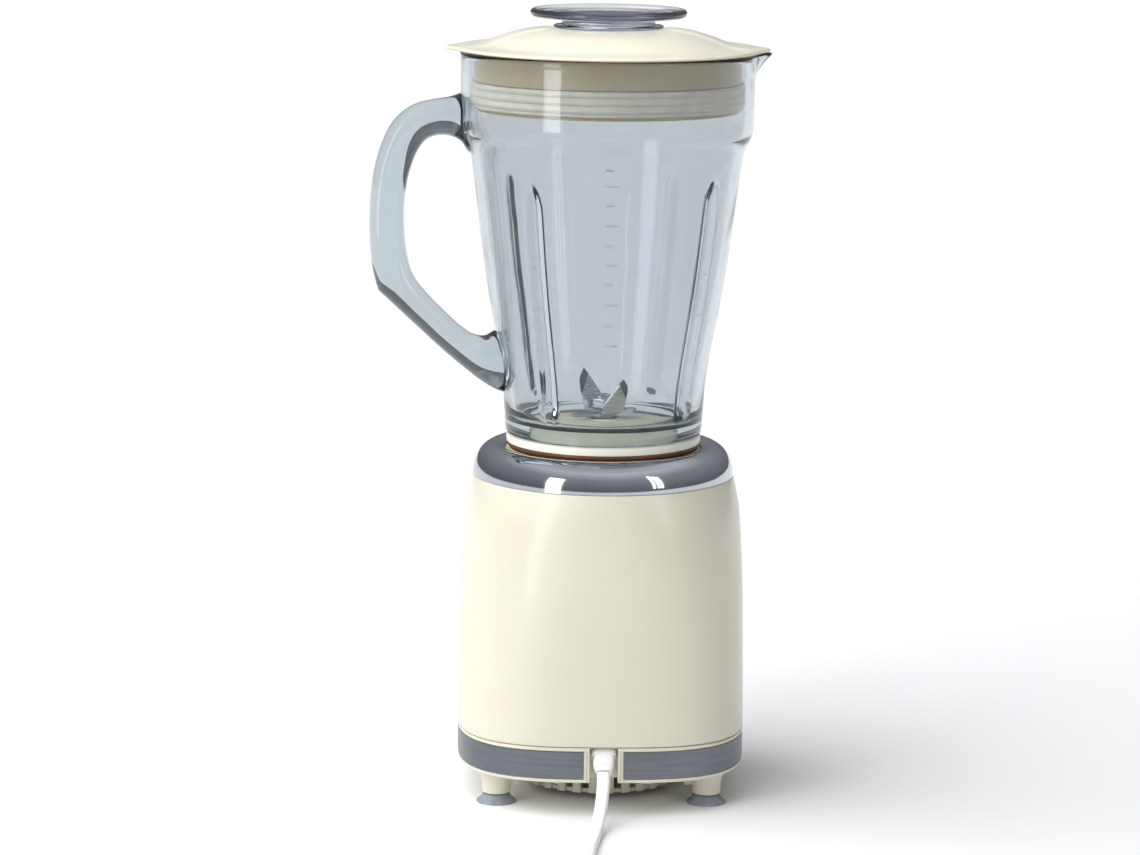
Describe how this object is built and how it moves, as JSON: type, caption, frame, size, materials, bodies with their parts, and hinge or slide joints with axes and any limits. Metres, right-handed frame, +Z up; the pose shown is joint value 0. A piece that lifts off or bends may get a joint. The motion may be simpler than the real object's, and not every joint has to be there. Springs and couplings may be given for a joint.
{
  "type": "countertop blender",
  "caption": "Countertop blender: a glass jug with a solid glass handle and a lift-off lid on an ivory motor base with a chrome shoulder, a steel band and a rotary control.",
  "frame": {"origin": "centre of the object's footprint box, without the mains lead, on the table under the suction feet", "axes": "+Z up along the jug's axis, -Y towards the control knob, +Y towards the mains lead, +X towards the jug's handle"},
  "size_m": [0.2091, 0.3708, 0.391],
  "materials": {
    "ivory": "glossy moulded ivory ABS",
    "cream": "soft cream plastic and silicone",
    "white": "white PVC",
    "black": "black moulded plastic",
    "chrome": "bright chrome plating",
    "steel": "satin stainless steel",
    "iron": "laminated electrical steel",
    "copper": "enamelled copper",
    "brass": "turned brass",
    "rubber": "soft grey rubber",
    "glass": "clear pressed glass with a faint blue tint",
    "clear_plastic": "clear bluish plastic"
  },
  "bodies": {
    "base": {"body_shell": "ivory", "chrome_top": "chrome", "jug_socket": "cream", "base_frame": "ivory", "metal_band": "steel", "bottom_cover": "ivory", "suction_foot_1": "rubber", "suction_foot_2": "rubber", "suction_foot_3": "rubber", "suction_foot_4": "rubber", "base_screw_1": "steel", "base_screw_2": "steel", "base_screw_3": "steel", "base_screw_4": "steel", "stator_core": "iron", "field_coil_left": "copper", "field_coil_right": "copper", "upper_bracket": "steel", "lower_bracket": "steel", "upper_bearing": "brass", "lower_bearing": "brass", "brush_holder_left": "brass", "brush_holder_right": "brass", "motor_mount_1": "rubber", "motor_mount_2": "rubber", "motor_mount_3": "rubber", "motor_mount_4": "rubber", "rotary_switch": "black", "knob_bezel": "chrome", "inner_lead": "white", "strain_relief": "white", "mains_cord": "white", "cord_coil": "white", "cord_tail": "white", "cord_tie": "black", "plug_body": "white", "plug_pin_left": "brass", "plug_pin_right": "brass"},
    "rotor": {"motor_shaft": "steel", "armature_core": "iron", "armature_winding": "copper", "commutator": "copper", "cooling_fan": "white", "drive_coupling": "black"},
    "jug": {"glass_jug": "glass", "jug_collar": "ivory", "jug_gasket": "rubber", "blade_holder": "cream", "blade_bush": "brass", "shaft_seal": "black"},
    "blades": {"blade_shaft": "steel", "blade_nut": "steel", "blade_lower": "steel", "blade_upper": "steel", "driven_coupling": "black"},
    "lid": {"lid": "ivory", "lid_gasket": "cream"},
    "cap": {"filler_cap": "clear_plastic"},
    "dial": {"knob": "chrome", "switch_spindle": "steel"}
  },
  "joints": [
    {"name": "motor_spin", "type": "hinge", "parent": "base", "child": "rotor", "pos_m": [-0.01815, 0.0075, 0.096], "axis": [0, 0, 1], "continuous": true},
    {"name": "jug_lift", "type": "slide", "parent": "base", "child": "jug", "axis": [0, 0, 1], "range_m": [0, 0.06]},
    {"name": "blade_spin", "type": "hinge", "parent": "jug", "child": "blades", "pos_m": [-0.01815, 0.0075, 0.19], "axis": [0, 0, 1], "continuous": true},
    {"name": "lid_lift", "type": "slide", "parent": "jug", "child": "lid", "axis": [0, 0, 1], "range_m": [0, 0.05]},
    {"name": "cap_lift", "type": "slide", "parent": "lid", "child": "cap", "axis": [0, 0, 1], "range_m": [0, 0.03]},
    {"name": "knob_turn", "type": "hinge", "parent": "base", "child": "dial", "pos_m": [-0.01815, -0.0644, 0.095], "axis": [0, -1, 0], "range_deg": [-40, 80]}
  ],
  "couplings": [
    {"joint": "blade_spin", "follows": "motor_spin", "ratio": 1}
  ]
}
